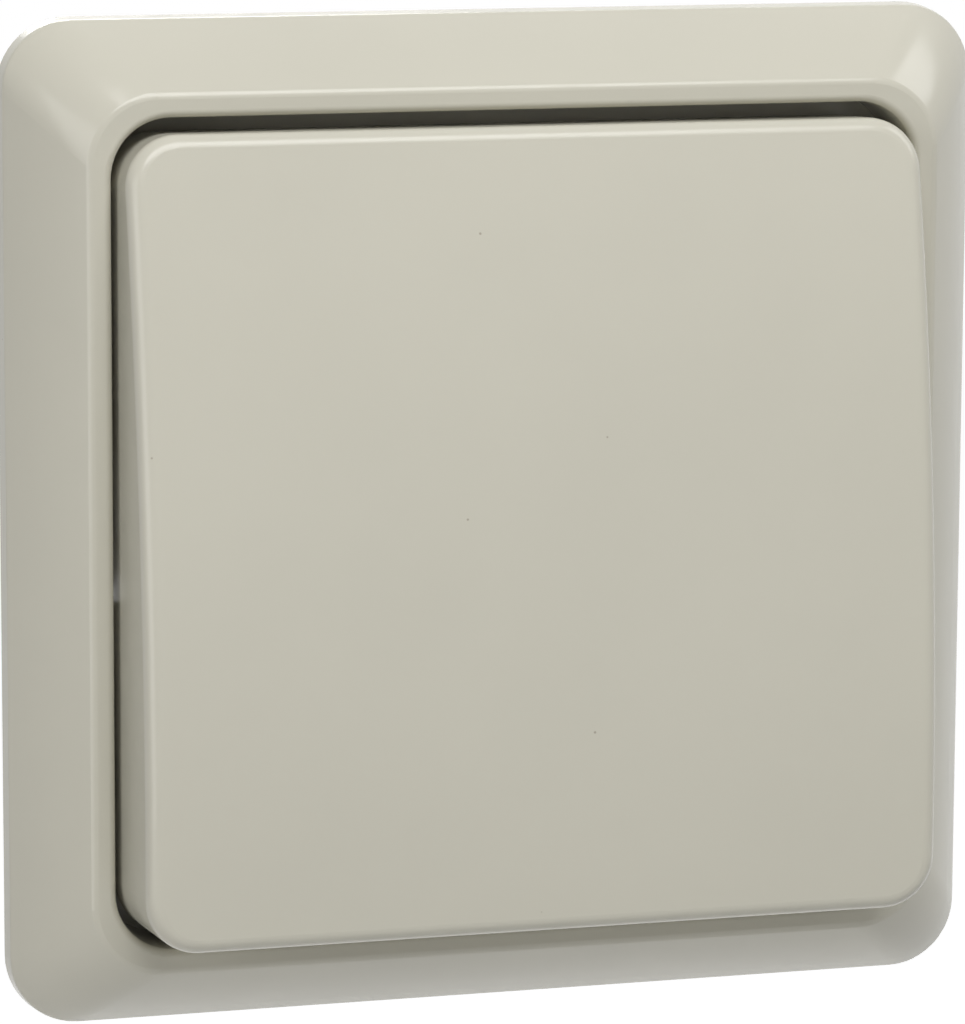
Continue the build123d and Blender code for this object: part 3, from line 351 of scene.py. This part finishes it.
def add_camera():
    """The camera at the photograph's viewing angle."""
    back = Vector((-sin(VIEW_YAW) * cos(VIEW_PITCH), -cos(VIEW_YAW) * cos(VIEW_PITCH), sin(VIEW_PITCH)))
    level_right = Vector((0, 0, 1)).cross(back).normalized()
    level_up = back.cross(level_right)
    right = cos(VIEW_ROLL) * level_right + sin(VIEW_ROLL) * level_up
    up = cos(VIEW_ROLL) * level_up - sin(VIEW_ROLL) * level_right
    data = bpy.data.cameras.new("camera")
    data.lens = VIEW_LENS
    data.sensor_width = VIEW_SENSOR
    data.clip_start = 0.01
    camera = bpy.data.objects.new("camera", data)
    turn = Matrix((right, up, back)).transposed().to_4x4()
    camera.matrix_world = Matrix.Translation(VIEW_TARGET + back * VIEW_DISTANCE) @ turn
    bpy.context.scene.collection.objects.link(camera)
    bpy.context.scene.camera = camera


def softbox(name, place, size, power, spread=pi):
    """A soft rectangular lamp that points at the switch. Spread is the full angle of its beam."""
    data = bpy.data.lights.new(name, "AREA")
    data.shape = "RECTANGLE"
    data.size, data.size_y = size
    data.energy = power
    data.spread = spread
    lamp = bpy.data.objects.new(name, data)
    lamp.location = place
    lamp.rotation_euler = (-Vector(place)).to_track_quat("-Z", "Y").to_euler()
    bpy.context.scene.collection.objects.link(lamp)


def add_lights():
    """Plain soft studio light, mostly from the front and above, with a lamp behind for the insert."""
    softbox("front_high", (0.0, -0.5, 0.6), (0.6, 0.4), 5.05)
    softbox("right_high", (0.6, -0.15, 0.45), (0.4, 0.4), 1.6)
    softbox("left", (-0.7, -0.4, 0.1), (0.5, 0.6), 2.15)
    softbox("behind", (0.0, 0.75, 0.55), (0.5, 0.4), 0.5, BEHIND_SPREAD)


def background_rays(tree):
    """1 for rays from the camera, a mirror or glass, which see the white background, and otherwise 0."""
    path = add(tree, "ShaderNodeLightPath")
    seen = path.outputs["Is Camera Ray"]
    for kind in ("Is Glossy Ray", "Is Transmission Ray"):
        inputs = {0: seen, 1: path.outputs[kind]}
        seen = add(tree, "ShaderNodeMath", inputs, operation="MAXIMUM").outputs["Value"]
    return seen


def add_world():
    """A dim even surround, which is white where it is seen or mirrored."""
    world = bpy.data.worlds.new("surround")
    world.use_nodes = True
    tree = world.node_tree
    tree.nodes.clear()
    dim = add(tree, "ShaderNodeBackground", {"Color": WHITE, "Strength": AMBIENT})
    white = add(tree, "ShaderNodeBackground", {"Color": WHITE, "Strength": 1.0})
    inputs = {0: background_rays(tree), 1: dim.outputs[0], 2: white.outputs[0]}
    both = add(tree, "ShaderNodeMixShader", inputs)
    add(tree, "ShaderNodeOutputWorld", {"Surface": both.outputs[0]})
    bpy.context.scene.world = world


def add_floor():
    """A plain pale floor, well below the switch, which hangs as it does on a wall."""
    mesh = bpy.data.meshes.new("floor")
    form = bmesh.new()
    bmesh.ops.create_grid(form, x_segments=1, y_segments=1, size=FLOOR_SIDE / 2)
    form.to_mesh(mesh)
    form.free()
    floor = bpy.data.objects.new("floor", mesh)
    floor.location = (0, 0, -FLOOR_DROP)
    bpy.context.scene.collection.objects.link(floor)
    material = bpy.data.materials.new("floor")
    material.use_nodes = True
    tree = material.node_tree
    tree.nodes.clear()
    pale = add(tree, "ShaderNodeBsdfDiffuse", {"Color": FLOOR_COLOUR})
    glow = add(tree, "ShaderNodeEmission", {"Color": WHITE, "Strength": FLOOR_GLOW})
    white = add(tree, "ShaderNodeAddShader", {0: pale.outputs[0], 1: glow.outputs[0]})
    inputs = {0: background_rays(tree), 1: pale.outputs[0], 2: white.outputs[0]}
    both = add(tree, "ShaderNodeMixShader", inputs)
    add(tree, "ShaderNodeOutputMaterial", {"Surface": both.outputs[0]})
    mesh.materials.append(material)


bpy.context.scene.view_settings.view_transform = "Standard"
add_camera()
finishes = make_materials()
dress_nodes(finishes)
add_inner_lip(finishes["cream_plastic"])
for side_name, side in (("left", -1), ("right", 1)):
    add_claw_screw(side_name, side, finishes["zinc_plated_steel"])
for spring_name in SPRINGS:
    add_spring(spring_name, finishes["spring_steel"])
add_lights()
add_world()
add_floor()
